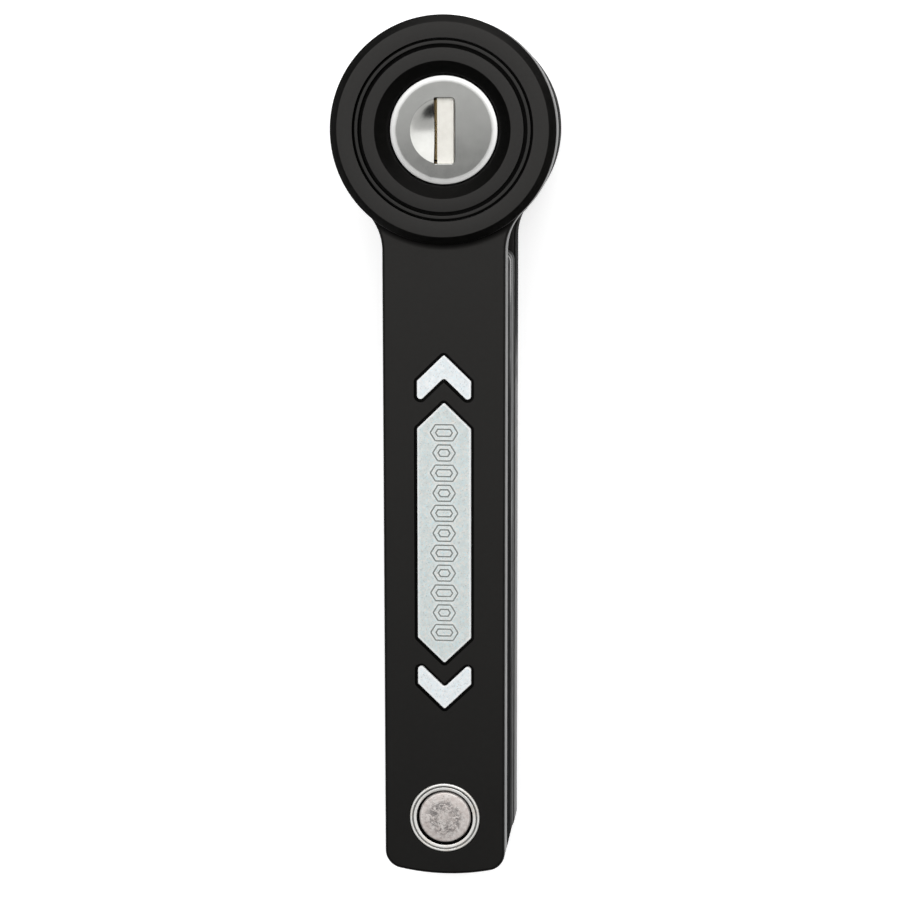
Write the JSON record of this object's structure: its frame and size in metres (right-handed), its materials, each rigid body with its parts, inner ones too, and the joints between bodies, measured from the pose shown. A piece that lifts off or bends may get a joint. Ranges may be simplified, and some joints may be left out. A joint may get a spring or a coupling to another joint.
{
  "type": "folding lock",
  "caption": "Folding lock of flat bars riveted end to end, folded into a stack, with a round key-operated lock head on the front bar.",
  "frame": {"origin": "middle of the lowest plane of the folded lock's box: the rear bar's rear face, which it rests on", "axes": "+Z out of the front face with the keyway, +Y along the bars towards the round head, +X to the right seen from the front"},
  "size_m": [0.0494, 0.1922, 0.0414],
  "materials": {
    "casing": "satin dark casing with a very fine grain",
    "head_cap": "satin dark coat, smoother than the casing",
    "trim_ring": "dark satin metal",
    "hardened_steel": "ground, oiled steel",
    "plated_steel": "zinc-plated steel",
    "plug_chrome": "polished, with a soft brushed field",
    "brass": "machined brass",
    "link_coating": "satin dark coat on steel",
    "rivet_steel": "stamped and worn steel",
    "rivet_ring": "polished steel ring",
    "washer_polymer": "plain grey polymer",
    "inlay_pale": "pale, slightly sparkling inlay",
    "plaque_silver": "silver-grey metallic lacquer",
    "flap_cream": "cream, satin"
  },
  "bodies": {
    "front_bar": {"front_bar_casing": "casing", "front_bar_core": "hardened_steel", "head_cap": "head_cap", "trim_ring": "trim_ring", "cylinder_bezel": "head_cap", "lock_body": "hardened_steel", "lock_back_plate": "plated_steel", "back_plate_pin_1": "hardened_steel", "back_plate_pin_2": "hardened_steel", "back_plate_pin_3": "hardened_steel", "cylinder_shell": "plated_steel", "upper_chevron": "inlay_pale", "plaque": "plaque_silver", "lower_chevron": "inlay_pale", "front_rivet_ring": "rivet_ring", "rivet_1": "rivet_steel"},
    "plug": {"plug_face": "plug_chrome", "plug_barrel": "brass", "detainer_disc_1": "brass", "detainer_disc_2": "brass", "detainer_disc_3": "brass", "detainer_disc_4": "brass", "detainer_disc_5": "brass", "detainer_disc_6": "brass", "sidebar": "hardened_steel", "driver_cam": "plated_steel", "flap_spring": "plated_steel"},
    "keyway_flap": {"keyway_flap": "flap_cream"},
    "locking_bolt": {"locking_bolt": "hardened_steel"},
    "link_2": {"link_2": "link_coating", "rivet_2": "rivet_steel", "washer_1": "washer_polymer"},
    "link_3": {"link_3": "link_coating", "rivet_3": "rivet_steel", "washer_2": "washer_polymer"},
    "link_4": {"link_4": "link_coating", "rivet_4": "rivet_steel", "washer_3": "washer_polymer"},
    "link_5": {"link_5": "link_coating", "rivet_5": "rivet_steel", "washer_4": "washer_polymer"},
    "rear_bar": {"rear_bar_casing": "casing", "rear_bar_core": "hardened_steel", "eye_bushing": "plated_steel", "rear_rivet_ring": "rivet_ring", "washer_5": "washer_polymer"}
  },
  "joints": [
    {"name": "rivet_1_swing", "type": "hinge", "parent": "front_bar", "child": "link_2", "pos_m": [0, -0.0831, 0.0289], "axis": [0, 0, 1], "range_deg": [-175, 175]},
    {"name": "rivet_2_swing", "type": "hinge", "parent": "link_2", "child": "link_3", "pos_m": [0, 0.0324, 0.0241], "axis": [0, 0, 1], "range_deg": [-115, 115]},
    {"name": "rivet_3_swing", "type": "hinge", "parent": "link_3", "child": "link_4", "pos_m": [0, -0.0831, 0.0192], "axis": [0, 0, 1], "range_deg": [-175, 175]},
    {"name": "rivet_4_swing", "type": "hinge", "parent": "link_4", "child": "link_5", "pos_m": [0, 0.0324, 0.0144], "axis": [0, 0, 1], "range_deg": [-115, 115]},
    {"name": "rivet_5_swing", "type": "hinge", "parent": "link_5", "child": "rear_bar", "pos_m": [0, -0.0831, 0.0095], "axis": [0, 0, 1], "range_deg": [-175, 175]},
    {"name": "plug_turn", "type": "hinge", "parent": "front_bar", "child": "plug", "pos_m": [0, 0.0714, 0.0382], "axis": [0, 0, -1], "range_deg": [0, 90]},
    {"name": "bolt_slide", "type": "slide", "parent": "front_bar", "child": "locking_bolt", "axis": [0, 0, -1], "range_m": [0, 0.006]},
    {"name": "flap_swing", "type": "hinge", "parent": "plug", "child": "keyway_flap", "pos_m": [0.0017, 0.0712, 0.03705], "axis": [0, -1, 0], "range_deg": [0, 80], "stiffness_Nm_per_rad": 0.00002, "springref_deg": -45.84, "deforming": ["flap_spring"]}
  ],
  "couplings": [
    {"joint": "bolt_slide", "follows": "plug_turn", "m_per_rad": 0.0038197}
  ]
}
